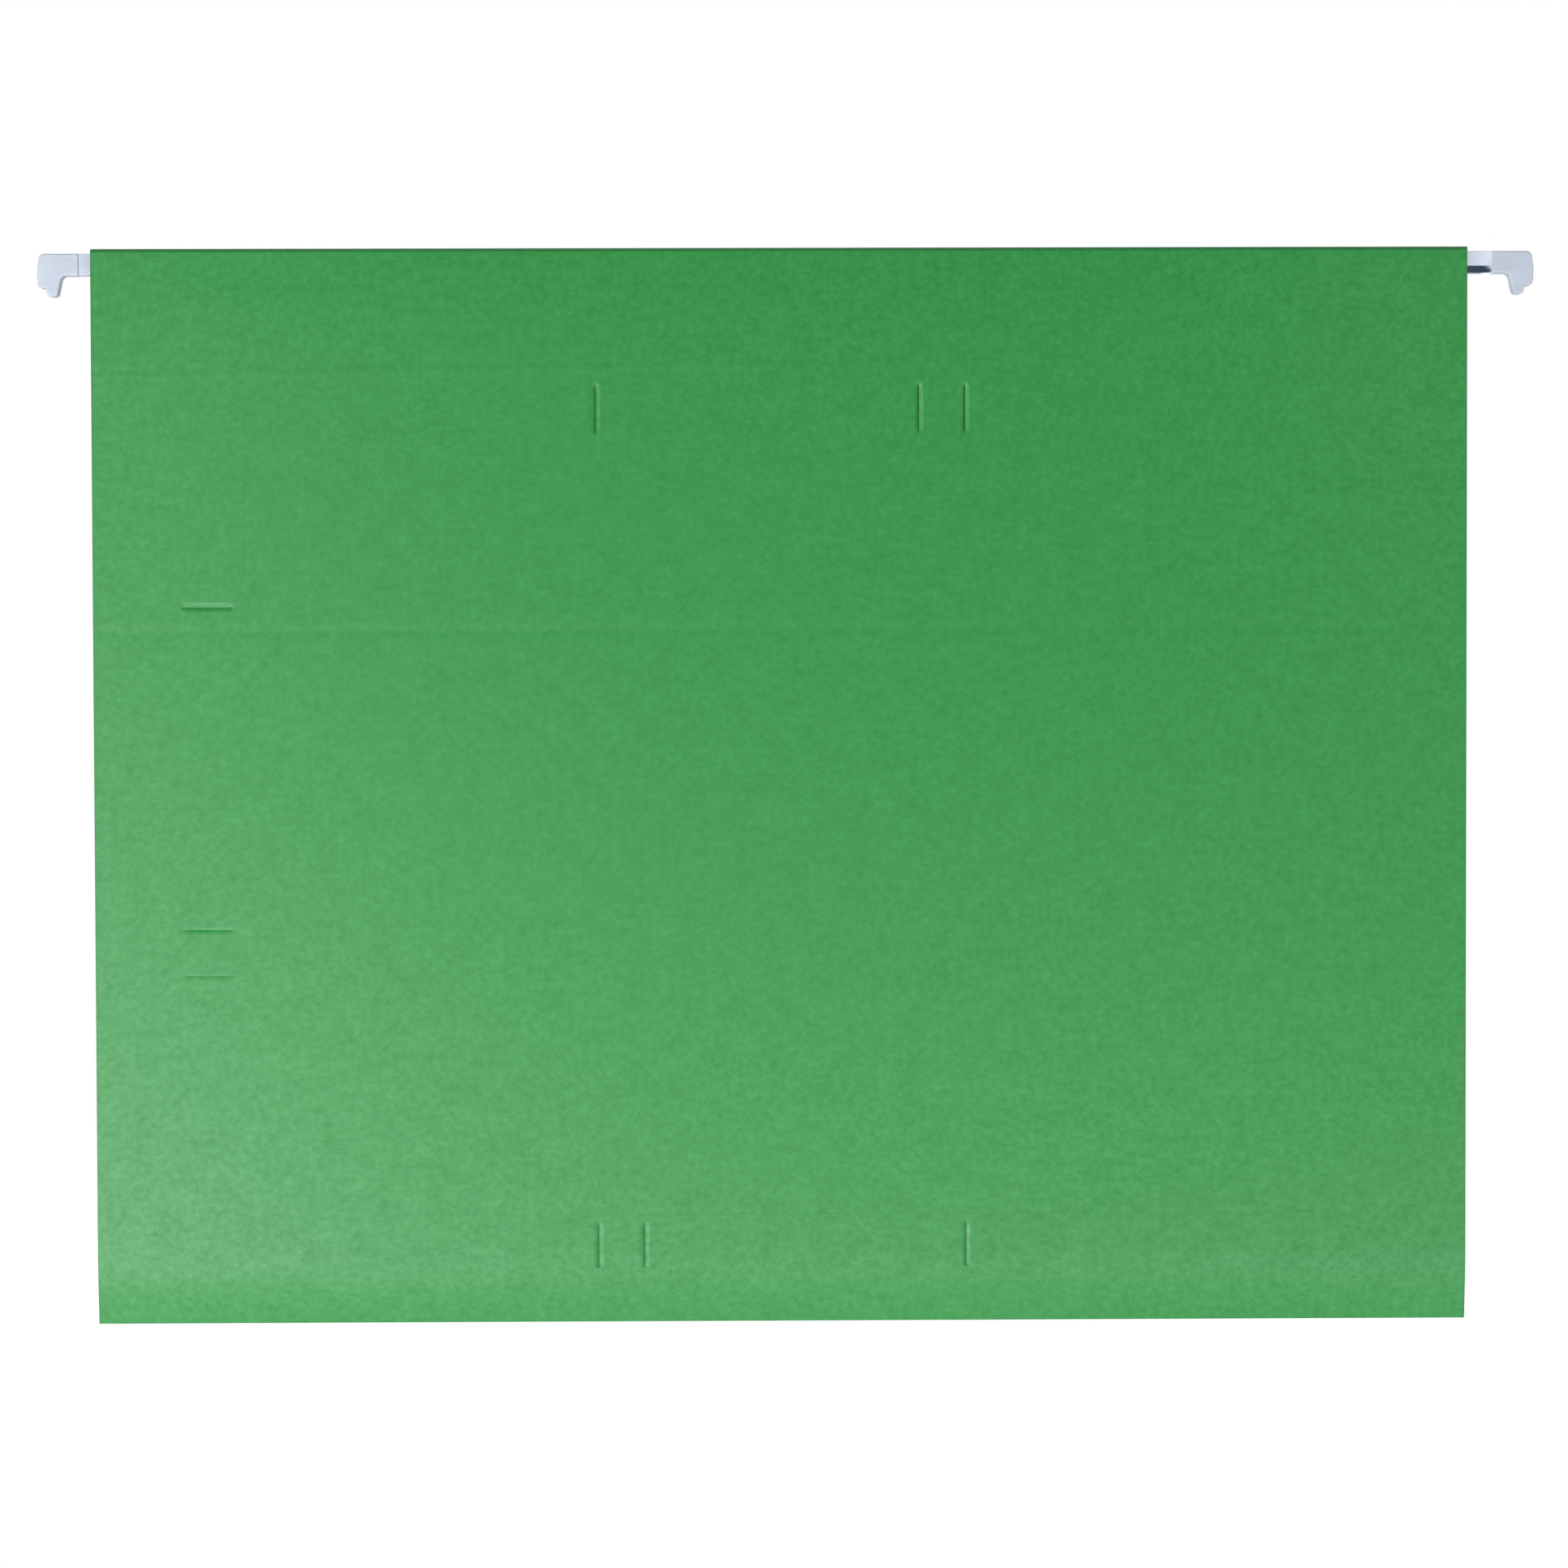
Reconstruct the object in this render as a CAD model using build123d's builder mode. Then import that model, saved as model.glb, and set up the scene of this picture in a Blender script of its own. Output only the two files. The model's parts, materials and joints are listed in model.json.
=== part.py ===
from build123d import *
from math import atan2, cos, degrees, hypot, sin
import os

# Hanging file folder for letter paper: one sheet of card, scored and folded into two leaves, with
# a flat steel rod in the hem of each leaf and a moulded hook on each rod end.
# Frame: +X to the right along the rods, +Y to the rear, +Z up. The origin lies midway between the
# four hook seats, on the plane where a cabinet's rails carry them. Lengths are in millimetres.
# A depth is a distance from the plane midway between the leaves, the same for front and rear.

# Card sheet
CARD = 0.3                    # thickness of the card
LEAF_WIDTH = 298.0            # along the rods
LEAF_HEIGHT = 233.5           # from the top of the hem to the underside of the bottom fold
LOWER_STRIP = 11.5            # from the bottom fold up to the lower scores
UPPER_STRIP = 12.5            # from the lower score up to the front leaf's upper score
FOLD_GAP = 0.1                # room between a panel and the line that it turns about

# Hems
HEM_DEPTH = 25.4              # from the top of the hem down to the edge of the flap
ROD_PLAY = 0.1                # room on each side of the rod in its tunnel
ROD_HEADROOM = 0.2            # from the rod's top up to where the hem starts to bend over
ROD_FOOTROOM = 0.4            # from the rod's underside down to where the flap turns in
HEM_TAPER = 5.0               # height in which the flap closes onto the leaf
TAPER_RADIUS = 3.0            # bend at each end of that taper, along the card's middle
GLUE = 0.1                    # thickness of the glue line
GLUE_MARGIN = 1.5             # bare card above, below and beside the glue
HEM_SPACING = 0.3             # least room between what the front and the rear leaf carry

# Fastener slits of the front leaf
SLIT_WIDTH = 0.5
SLIT_LENGTH = 11.2            # slits of the top row and of the side column
BOTTOM_SLIT_LENGTH = 10.0
SLIT_PAIR = 80.0              # the wider fastener spacing, centred on the leaf
SLIT_ALTERNATE = 70.0         # the narrower spacing, which shares one slit of the pair
TOP_SLIT_DROP = 34.7          # centre of the top row below the top of the hem
BOTTOM_SLIT_RISE = 17.0       # centre of the bottom row above the bottom fold
SIDE_SLIT_INSET = 24.8        # centre of the side column from the left edge
SIDE_SLIT_DROP = 0.8          # middle of the side pair below the middle of the leaf

# Rods
LEFT_BARE_ROD = 2.55          # bare metal between the left hooks and the card
RIGHT_BARE_ROD = 5.45         # bare metal between the card and the right hooks
ROD_HEIGHT = 4.76
ROD_THICKNESS = 0.9
TONGUE_LENGTH = 6.0           # narrowed rod end inside each hook
TONGUE_HEIGHT = 2.8

# Hooks, measured inward from the rod's end and up from the seat on the rail
HOOK_LENGTH = 9.0
HOOK_THICKNESS = 1.8
HOOK_EDGE_RADIUS = 0.4        # moulded rounding of the rims
CROWN_INSET = 0.55            # upper outer corner, inward of the outer side's bulge
CROWN_RADIUS = 1.2
BULGE_HEIGHT = 0.7            # where the outer side stands out farthest
BULGE_RADIUS = 8.0
SHOULDER_INSET = 0.25         # outer shoulder, over the beak
SHOULDER_DROP = 2.72          # shoulder below the seat
SHOULDER_RADIUS = 1.1
BEAK_START = 1.95             # outer root of the beak, under the shoulder
BEAK_ROOT_RADIUS = 0.45
BEAK_DROP = 4.5               # tip of the beak below the seat
BEAK_TIP_START = 2.4
BEAK_TIP_WIDTH = 2.0
BEAK_TIP_RADIUS = 0.85
BEAK_END = 5.35               # where the beak's inner side meets the seat
SEAT_RADIUS = 1.3             # fillet between the beak and the seat

# Lengths along X: each rod reaches past the card by its bare metal and its hooks, and the card lies
# off the rods' middle because it has slid along them
BAR_LENGTH = LEFT_BARE_ROD + LEAF_WIDTH + RIGHT_BARE_ROD
ROD_LENGTH = BAR_LENGTH + 2 * HOOK_LENGTH
LEAF_SHIFT = (LEFT_BARE_ROD - RIGHT_BARE_ROD) / 2

# Depths of the stack at the top, which the hooks or the folded hem set, whichever is thicker
TUNNEL = ROD_THICKNESS + 2 * ROD_PLAY
ROD_DEPTH = HEM_SPACING / 2 + max(HOOK_THICKNESS / 2, TUNNEL / 2 + CARD)
LEAF_INNER = ROD_DEPTH + TUNNEL / 2
LEAF_MIDDLE = LEAF_INNER + CARD / 2
LEAF_OUTER = LEAF_INNER + CARD
FLAP_MIDDLE = ROD_DEPTH - TUNNEL / 2 - CARD / 2
GLUED_MIDDLE = LEAF_INNER - GLUE - CARD / 2

# Heights of the hem
BEND_Z = ROD_HEIGHT + ROD_HEADROOM
BEND_RADIUS = (TUNNEL + CARD) / 2
TOP_Z = BEND_Z + TUNNEL / 2 + CARD
TAPER_TOP_Z = -ROD_FOOTROOM
TAPER_FOOT_Z = TAPER_TOP_Z - HEM_TAPER
FLAP_FOOT_Z = TOP_Z - HEM_DEPTH

# Fold lines: the lower scores and the bottom fold turn inward, so their lines lie inside the card,
# and the front leaf turns outward at its upper score, so that line lies outside it
BOTTOM_Z = TOP_Z - LEAF_HEIGHT
FOLD_Z = BOTTOM_Z + CARD + FOLD_GAP
LOWER_SCORE_Z = BOTTOM_Z + LOWER_STRIP
UPPER_SCORE_Z = LOWER_SCORE_Z + UPPER_STRIP
SCORE_DEPTH = LEAF_INNER - FOLD_GAP
OPENING_DEPTH = LEAF_OUTER + FOLD_GAP
GUSSET_RUN = hypot(SCORE_DEPTH, LOWER_SCORE_Z - FOLD_Z)
GUSSET_SLANT = atan2(SCORE_DEPTH, LOWER_SCORE_Z - FOLD_Z)

SIDES = {"front": -1, "rear": 1}
ENDS = {"left": -1, "right": 1}


def across(side):
    """Plane across the card at its middle, with depth and height as its two directions."""
    return Plane(origin=(LEAF_SHIFT, 0, 0), x_dir=(0, side, 0), z_dir=(side, 0, 0))


def upright(depth, side):
    """Plane parallel to the leaves, seen from the front, with X and Z as its two directions."""
    return Plane(origin=(0, side * depth, 0), x_dir=(1, 0, 0), z_dir=(0, -1, 0))


def save(piece, name):
    """Label a finished piece and write it under that name."""
    piece.label = name
    export_step(piece, f"parts/{name}.step")


def slit_centres(row):
    """Places of the three slits along their row: the pair, and the one for the narrower spacing."""
    first = row * SLIT_PAIR / 2
    return [first, first - row * SLIT_ALTERNATE, -first]


def leaf_and_hem(side, foot_z):
    """A leaf with the hem turned over its rod and closed onto the inside of the leaf."""
    with BuildPart() as leaf:
        with BuildSketch(across(side)):
            with BuildLine():
                wall = Line((LEAF_MIDDLE, foot_z), (LEAF_MIDDLE, BEND_Z))
                bend = ThreePointArc(
                    wall @ 1, (ROD_DEPTH, BEND_Z + BEND_RADIUS), (FLAP_MIDDLE, BEND_Z)
                )
                FilletPolyline(
                    bend @ 1,
                    (FLAP_MIDDLE, TAPER_TOP_Z),
                    (GLUED_MIDDLE, TAPER_FOOT_Z),
                    (GLUED_MIDDLE, FLAP_FOOT_Z),
                    radius=TAPER_RADIUS,
                )
            trace(line_width=CARD)
        extrude(amount=LEAF_WIDTH / 2, both=True)
    return leaf.part


def hem_glue(side):
    """The glue line between the hem flap and the leaf."""
    with BuildPart() as glue:
        with BuildSketch(across(side)):
            with Locations((LEAF_INNER, FLAP_FOOT_Z + GLUE_MARGIN)):
                glue_height = TAPER_FOOT_Z - FLAP_FOOT_Z - 2 * GLUE_MARGIN
                Rectangle(GLUE, glue_height, align=(Align.MAX, Align.MIN))
        extrude(amount=LEAF_WIDTH / 2 - GLUE_MARGIN, both=True)
    return glue.part


def gusset(side):
    """The slanting strip from a lower score to the bottom fold."""
    down_the_strip = (0, -side * sin(GUSSET_SLANT), -cos(GUSSET_SLANT))
    strip_plane = Plane(
        origin=(LEAF_SHIFT, side * SCORE_DEPTH, LOWER_SCORE_Z),
        x_dir=down_the_strip,
        z_dir=(side, 0, 0),
    )
    with BuildPart() as strip:
        with BuildSketch(strip_plane):
            with Locations((FOLD_GAP, FOLD_GAP)):
                Rectangle(GUSSET_RUN - 2 * FOLD_GAP, CARD, align=(Align.MIN, Align.MIN))
        extrude(amount=LEAF_WIDTH / 2, both=True)
    return strip.part


def rod(side):
    """A flat bar with a narrowed tongue at each end for the hooks."""
    with BuildPart() as bar:
        with BuildSketch(upright(ROD_DEPTH, side)):
            with Locations((0, ROD_HEIGHT / 2)):
                Rectangle(BAR_LENGTH, ROD_HEIGHT)
                Rectangle(BAR_LENGTH + 2 * TONGUE_LENGTH, TONGUE_HEIGHT)
        extrude(amount=ROD_THICKNESS / 2, both=True)
    return bar.part


def hook(side, end):
    """A moulded rod end: a seat for the rail with a beak outside it, closed around the tongue."""
    corners = [
        (HOOK_LENGTH, ROD_HEIGHT, 0),
        (CROWN_INSET, ROD_HEIGHT, CROWN_RADIUS),
        (0, BULGE_HEIGHT, BULGE_RADIUS),
        (SHOULDER_INSET, -SHOULDER_DROP, SHOULDER_RADIUS),
        (BEAK_START, -SHOULDER_DROP, BEAK_ROOT_RADIUS),
        (BEAK_TIP_START, -BEAK_DROP, BEAK_TIP_RADIUS),
        (BEAK_TIP_START + BEAK_TIP_WIDTH, -BEAK_DROP, BEAK_TIP_RADIUS),
        (BEAK_END, 0, SEAT_RADIUS),
        (HOOK_LENGTH, 0, 0),
    ]
    outline = [(end * (ROD_LENGTH / 2 - inward), height) for inward, height, _ in corners]
    with BuildPart() as cap:
        with BuildSketch(upright(ROD_DEPTH, side)) as profile:
            with BuildLine():
                Polyline(*outline, close=True)
            make_face()
            for place, (_, _, radius) in zip(outline, corners):
                if radius > 0:
                    fillet(profile.vertices().sort_by_distance(place)[0], radius)
        extrude(amount=HOOK_THICKNESS / 2, both=True)
        fillet(cap.faces().filter_by(Axis.Y).edges(), HOOK_EDGE_RADIUS)
        with BuildSketch(upright(ROD_DEPTH, side)):
            with Locations((end * BAR_LENGTH / 2, ROD_HEIGHT / 2)):
                Rectangle(2 * TONGUE_LENGTH, TONGUE_HEIGHT)
        extrude(amount=ROD_THICKNESS / 2, both=True, mode=Mode.SUBTRACT)
    return cap.part


os.makedirs("parts", exist_ok=True)

# Front leaf: it runs from the upper score to the hem, with the top row and the side column of slits
with BuildPart() as front_leaf:
    add(leaf_and_hem(SIDES["front"], UPPER_SCORE_Z + FOLD_GAP))
    with BuildSketch(upright(LEAF_INNER - GLUE, SIDES["front"])):
        with Locations(*[(LEAF_SHIFT + x, TOP_Z - TOP_SLIT_DROP) for x in slit_centres(-1)]):
            Rectangle(SLIT_WIDTH, SLIT_LENGTH)
        side_x = LEAF_SHIFT - LEAF_WIDTH / 2 + SIDE_SLIT_INSET
        middle_z = TOP_Z - LEAF_HEIGHT / 2 - SIDE_SLIT_DROP
        with Locations(*[(side_x, middle_z + z) for z in slit_centres(1)]):
            Rectangle(SLIT_LENGTH, SLIT_WIDTH)
    extrude(amount=CARD + 2 * GLUE, mode=Mode.SUBTRACT)
save(front_leaf.part, "front_leaf")

# Front skirt: the strip between the two front scores, with the bottom row of slits
with BuildPart() as front_skirt:
    with BuildSketch(across(SIDES["front"])):
        with Locations((LEAF_INNER, LOWER_SCORE_Z + FOLD_GAP)):
            Rectangle(CARD, UPPER_STRIP - 2 * FOLD_GAP, align=(Align.MIN, Align.MIN))
    extrude(amount=LEAF_WIDTH / 2, both=True)
    with BuildSketch(upright(LEAF_INNER - GLUE, SIDES["front"])):
        with Locations(*[(LEAF_SHIFT + x, BOTTOM_Z + BOTTOM_SLIT_RISE) for x in slit_centres(1)]):
            Rectangle(SLIT_WIDTH, BOTTOM_SLIT_LENGTH)
    extrude(amount=CARD + 2 * GLUE, mode=Mode.SUBTRACT)
save(front_skirt.part, "front_skirt")

# Rear leaf: it runs in one piece from its lower score to the hem
save(leaf_and_hem(SIDES["rear"], LOWER_SCORE_Z + FOLD_GAP), "rear_leaf")

# Pieces that the front and the rear share
for side_name, side in SIDES.items():
    save(gusset(side), f"{side_name}_gusset")
    save(hem_glue(side), f"{side_name}_hem_glue")
    save(rod(side), f"{side_name}_rod")
    for end_name, end in ENDS.items():
        save(hook(side, end), f"{side_name}_{end_name}_hook")

print(f"bottom fold at z {FOLD_Z:.3f}, lower scores at z {LOWER_SCORE_Z:.3f}, depth {SCORE_DEPTH:.3f}")
print(f"upper score at z {UPPER_SCORE_Z:.3f}, opening line at depth {OPENING_DEPTH:.3f}")
print(f"gussets lie flat after {90 - degrees(GUSSET_SLANT):.3f} degrees")
print(f"rod plane at depth {ROD_DEPTH:.3f}, card from z {BOTTOM_Z:.3f} to {TOP_Z:.3f}")
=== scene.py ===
import json
import math
import bmesh
import bpy
from mathutils import Matrix, Vector


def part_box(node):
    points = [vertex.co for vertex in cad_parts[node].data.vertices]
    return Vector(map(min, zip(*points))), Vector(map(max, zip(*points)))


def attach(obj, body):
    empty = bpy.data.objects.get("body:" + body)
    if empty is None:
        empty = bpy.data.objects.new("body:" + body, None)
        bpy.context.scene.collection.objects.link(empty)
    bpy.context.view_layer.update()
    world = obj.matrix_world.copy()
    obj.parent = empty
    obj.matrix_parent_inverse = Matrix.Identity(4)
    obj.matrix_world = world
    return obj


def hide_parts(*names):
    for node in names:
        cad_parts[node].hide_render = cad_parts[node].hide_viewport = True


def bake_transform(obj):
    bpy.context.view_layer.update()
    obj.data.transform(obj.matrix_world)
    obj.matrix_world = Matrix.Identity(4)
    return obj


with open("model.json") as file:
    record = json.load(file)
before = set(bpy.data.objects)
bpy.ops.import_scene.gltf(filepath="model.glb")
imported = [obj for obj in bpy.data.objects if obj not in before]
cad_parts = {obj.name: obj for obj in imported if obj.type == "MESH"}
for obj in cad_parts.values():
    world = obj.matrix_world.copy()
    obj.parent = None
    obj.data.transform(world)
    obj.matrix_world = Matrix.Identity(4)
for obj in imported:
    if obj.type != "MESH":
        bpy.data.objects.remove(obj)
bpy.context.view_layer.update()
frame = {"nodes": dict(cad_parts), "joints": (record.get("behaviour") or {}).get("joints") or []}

# Rods: two flat bars of zinc-plated steel strip, one in the tunnel of each hem. The strip is cut to
# length and its lower edge is rolled thinner, a roll that runs out before the right hook. Each end is
# stamped down to a tongue for a hook.
MM = 0.001
TONGUE_HEIGHT = 2.8 * MM
ROLLED_HEIGHT = 1.6 * MM
ROLLED_DEPTH = 0.185 * MM
ROLLED_FADE = 3.2 * MM
ROLLED_FADE_STEPS = 24
ROD_ROUNDING = 0.08 * MM
ROD_ROUNDING_STEPS = 3
ROUNDED_OVER_DEGREES = 10
ROD_SMOOTH_BELOW = 0.9
MOSTLY = 0.9
DRAWN_LINE = 0.15 * MM
DRAWN_LENGTH = 25 * MM
DRAWN_HEIGHT = 0.004 * MM


def srgb(code):
    """Linear colour of an sRGB hex value."""
    shares = [int(code[place:place + 2], 16) / 255 for place in (1, 3, 5)]
    return [s / 12.92 if s <= 0.04045 else ((s + 0.055) / 1.055) ** 2.4 for s in shares] + [1.0]


def add_node(owner, kind, inputs, **settings):
    """Adds a node to a material or world; an input is a value, or a socket that is linked to it."""
    added = owner.node_tree.nodes.new(kind)
    for name, value in settings.items():
        setattr(added, name, value)
    for name, value in inputs.items():
        if isinstance(value, bpy.types.NodeSocket):
            owner.node_tree.links.new(value, added.inputs[name])
        else:
            added.inputs[name].default_value = value
    return added


def new_finish(name):
    """A material with nothing in it but its output."""
    finish = bpy.data.materials.new(name)
    finish.use_nodes = True
    finish.node_tree.nodes.clear()
    return finish


def new_piece(name, bm, finish, smooth_below):
    """An object from a finished bmesh, at the origin, with edges over that many degrees left sharp."""
    mesh = bpy.data.meshes.new(name)
    bm.to_mesh(mesh)
    bm.free()
    mesh.materials.append(finish)
    mesh.shade_smooth()
    mesh.set_sharp_from_angle(angle=math.radians(smooth_below))
    made = bpy.data.objects.new(name, mesh)
    bpy.context.scene.collection.objects.link(made)
    return made


def everything(bm):
    """All of a bmesh, as the cutting operators want it."""
    return bm.verts[:] + bm.edges[:] + bm.faces[:]


# Zinc-plated steel strip, drawn through rolls: bright and mirror-like, a little blue, with fine
# drawing lines along the bar. The lines are drawn coarser than the real ones so that they show.
zinc = new_finish("zinc_plated_steel")
zinc_place = add_node(zinc, "ShaderNodeTexCoord", {})
zinc_stretch = add_node(zinc, "ShaderNodeMapping", {
    "Vector": zinc_place.outputs["Object"],
    "Scale": (1 / DRAWN_LENGTH, 1 / DRAWN_LINE, 1 / DRAWN_LINE),
})
zinc_lines = add_node(zinc, "ShaderNodeTexNoise", {
    "Vector": zinc_stretch.outputs["Vector"], "Scale": 1.0, "Detail": 3.0,
})
zinc_colour = add_node(zinc, "ShaderNodeMix", {
    0: zinc_lines.outputs["Fac"], 6: srgb("#BEC5D1"), 7: srgb("#D4DAE4"),
}, data_type="RGBA")
zinc_rough = add_node(zinc, "ShaderNodeMapRange", {
    "Value": zinc_lines.outputs["Fac"], "To Min": 0.08, "To Max": 0.17,
})
zinc_bump = add_node(zinc, "ShaderNodeBump", {
    "Height": zinc_lines.outputs["Fac"], "Distance": DRAWN_HEIGHT, "Strength": 0.25,
})
zinc_shader = add_node(zinc, "ShaderNodeBsdfPrincipled", {
    "Base Color": zinc_colour.outputs[2], "Metallic": 1.0,
    "Roughness": zinc_rough.outputs["Result"], "Normal": zinc_bump.outputs["Normal"],
})
add_node(zinc, "ShaderNodeOutputMaterial", {"Surface": zinc_shader.outputs["BSDF"]})

for side in ("rear", "front"):
    rod_low, rod_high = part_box(f"{side}_rod")
    bar_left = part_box(f"{side}_left_hook")[1].x
    bar_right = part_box(f"{side}_right_hook")[0].x
    rod_middle = (rod_low + rod_high) / 2
    bar_size = Vector((bar_right - bar_left, rod_high.y - rod_low.y, rod_high.z - rod_low.z))
    rod = bmesh.new()
    bmesh.ops.create_cube(rod, size=1)
    bmesh.ops.scale(rod, verts=rod.verts, vec=bar_size)
    bmesh.ops.translate(rod, verts=rod.verts, vec=rod_middle)
    cut_heights = [
        rod_low.z + ROLLED_HEIGHT, rod_middle.z - TONGUE_HEIGHT / 2, rod_middle.z + TONGUE_HEIGHT / 2,
    ]
    for height in cut_heights:
        bmesh.ops.bisect_plane(rod, geom=everything(rod), plane_co=(0, 0, height), plane_no=(0, 0, 1))
    for step in range(1, ROLLED_FADE_STEPS + 1):
        fade_place = bar_right - ROLLED_FADE * step / ROLLED_FADE_STEPS
        bmesh.ops.bisect_plane(rod, geom=everything(rod), plane_co=(fade_place, 0, 0), plane_no=(1, 0, 0))
    for vert in rod.verts:
        rolled_share = max(0, 1 - (vert.co.z - rod_low.z) / ROLLED_HEIGHT)
        fade_share = min(1, (bar_right - vert.co.x) / ROLLED_FADE)
        rolled_share *= fade_share * fade_share * (3 - 2 * fade_share)
        vert.co.y -= math.copysign(ROLLED_DEPTH * rolled_share, vert.co.y - rod_middle.y)
    for end in (-1, 1):
        tongue_faces = [
            face for face in rod.faces
            if face.normal.x * end > MOSTLY
            and abs(face.calc_center_median().z - rod_middle.z) < TONGUE_HEIGHT / 2
        ]
        pulled = bmesh.ops.extrude_face_region(rod, geom=tongue_faces)
        bmesh.ops.delete(rod, geom=tongue_faces, context="FACES_ONLY")
        tongue_end = rod_high.x if end > 0 else rod_low.x
        for vert in pulled["geom"]:
            if isinstance(vert, bmesh.types.BMVert):
                vert.co.x = tongue_end
    long_edges = [
        edge for edge in rod.edges
        if abs(edge.verts[0].co.x - edge.verts[1].co.x) > MOSTLY * edge.calc_length()
        and edge.calc_face_angle() > math.radians(ROUNDED_OVER_DEGREES)
    ]
    bmesh.ops.bevel(
        rod, geom=long_edges, offset=ROD_ROUNDING, segments=ROD_ROUNDING_STEPS, profile=0.5,
        affect="EDGES", material=-1,
    )
    bmesh.ops.recalc_face_normals(rod, faces=rod.faces)
    rod_piece = new_piece(f"{side}_plated_rod", rod, zinc, ROD_SMOOTH_BELOW)
    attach(rod_piece, f"{side}_rail")
    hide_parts(f"{side}_rod")

# Hooks: four rod ends moulded in pale polypropylene around the tongues. Each rests on a rail with its
# flat seat, and its beak hangs down outside the rail, so that the folder can't slip off.
MOULD_GRAIN = 0.25 * MM
MOULD_GRAIN_HEIGHT = 0.01 * MM
FLOW_CLOUD = 3.0 * MM
WAX_DEPTH = 1.0 * MM

# Moulded polypropylene: waxy, faintly blue-white, with a fine grain from the mould's steel and
# soft clouds where the melt flowed. The grain is drawn coarser than the real one so that it shows.
plastic = new_finish("moulded_polypropylene")
plastic_place = add_node(plastic, "ShaderNodeTexCoord", {})
plastic_cloud = add_node(plastic, "ShaderNodeTexNoise", {
    "Vector": plastic_place.outputs["Object"], "Scale": 1 / FLOW_CLOUD, "Detail": 2.0,
})
plastic_grain = add_node(plastic, "ShaderNodeTexNoise", {
    "Vector": plastic_place.outputs["Object"], "Scale": 1 / MOULD_GRAIN, "Detail": 1.0,
})
plastic_colour = add_node(plastic, "ShaderNodeMix", {
    0: plastic_cloud.outputs["Fac"], 6: srgb("#C7D0DF"), 7: srgb("#D7E0EC"),
}, data_type="RGBA")
plastic_rough = add_node(plastic, "ShaderNodeMapRange", {
    "Value": plastic_grain.outputs["Fac"], "To Min": 0.5, "To Max": 0.62,
})
plastic_bump = add_node(plastic, "ShaderNodeBump", {
    "Height": plastic_grain.outputs["Fac"], "Distance": MOULD_GRAIN_HEIGHT, "Strength": 0.5,
})
plastic_shader = add_node(plastic, "ShaderNodeBsdfPrincipled", {
    "Base Color": plastic_colour.outputs[2], "Roughness": plastic_rough.outputs["Result"],
    "IOR": 1.49, "Specular IOR Level": 0.3, "Normal": plastic_bump.outputs["Normal"],
    "Subsurface Weight": 0.8, "Subsurface Scale": WAX_DEPTH, "Subsurface Radius": (1.0, 1.0, 1.0),
})
add_node(plastic, "ShaderNodeOutputMaterial", {"Surface": plastic_shader.outputs["BSDF"]})
for side in ("rear", "front"):
    for end in ("left", "right"):
        frame["nodes"][f"{side}_{end}_hook"].material_slots[0].material = plastic

# Card: one sheet of green dyed card, cut, slit and scored flat, then folded into two leaves whose
# hems go over the rods. It is drawn in four pieces that meet inside stiff strips, one for each
# score that it turns at, and the folds themselves are never cut.
skirt_low, skirt_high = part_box("front_skirt")
leaf_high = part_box("front_leaf")[1]
joint_at = {joint["name"]: Vector(joint.get("pos_m", (0, 0, 0))) for joint in frame["joints"]}
CARD = skirt_high.y - skirt_low.y
CARD_LEFT = skirt_low.x
CARD_WIDTH = skirt_high.x - skirt_low.x
LEAF_OUTER = -skirt_low.y
CARD_TOP = leaf_high.z
FLAP_INSIDE = -leaf_high.y
GLUE_INSIDE = -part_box("front_hem_glue")[1].y
FOLD_Z = joint_at["bottom_fold_open"].z
LOWER_SCORE_Z = joint_at["rear_score_turn"].z
UPPER_SCORE_Z = joint_at["front_leaf_open"].z
SCORE_DEPTH = joint_at["rear_score_turn"].y
HEM_RADIUS = (LEAF_OUTER - FLAP_INSIDE) / 2
BEND_Z = CARD_TOP - HEM_RADIUS
FOLD_RADIUS = LEAF_OUTER - SCORE_DEPTH
GUSSET_RUN = math.hypot(SCORE_DEPTH, LOWER_SCORE_Z - FOLD_Z)
GUSSET_TURN = math.degrees(math.atan2(LOWER_SCORE_Z - FOLD_Z, SCORE_DEPTH))
HEM_DEPTH = 25.4 * MM
HEM_SLANT = 2.2 * MM
TAPER_TOP_Z = -0.4 * MM
TAPER_HEIGHT = 5.0 * MM
TAPER_RADIUS = 3.0 * MM
TAPER_STEPS = 4
HEM_STEPS = 16
FLAP_EDGE_REACH = 0.05 * MM
SKIRT_SEAM_DROP = 1.4 * MM
SKIRT_SEAM_Z = UPPER_SCORE_Z - SKIRT_SEAM_DROP
SCORE_HALF = 0.8 * MM
SCORE_ROWS = 17
SCORE_EASE = 70 * MM
SCORE_EASE_STEPS = 12
EMBOSS_CUTS = (-1.6, -1, -0.5, 0, 0.5, 1, 1.6)
CUT_REACH = 0.001 * MM
CARD_SMOOTH_BELOW = 40
FIBRE_WIDTH = 0.35 * MM
FIBRE_LENGTH = 1.2 * MM
FLOC = 1.7 * MM
CLOUD = 6.0 * MM
FIBRE_SHARE = 0.15
FLOC_SHARE = 0.55
CLOUD_SHARE = 0.2
TONE_BASE = 0.05
TONE_LOW = 0.3
TONE_HIGH = 0.7
FLOC_HEIGHT = 0.03 * MM
SPECK_SPACING = 140 * MM
SPECK_FULL = 0.245 * MM
SPECK_END = 0.455 * MM
SPECK_STRENGTH = 0.6
# Painted shade: a darker band of colour along the cut side edges, standing in for the shade where the edge
# turns away from the lamps.
CUT_SHADE_FULL = 0.2 * MM
CUT_SHADE_END = 0.6 * MM
CUT_SHADE = 0.2
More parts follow.
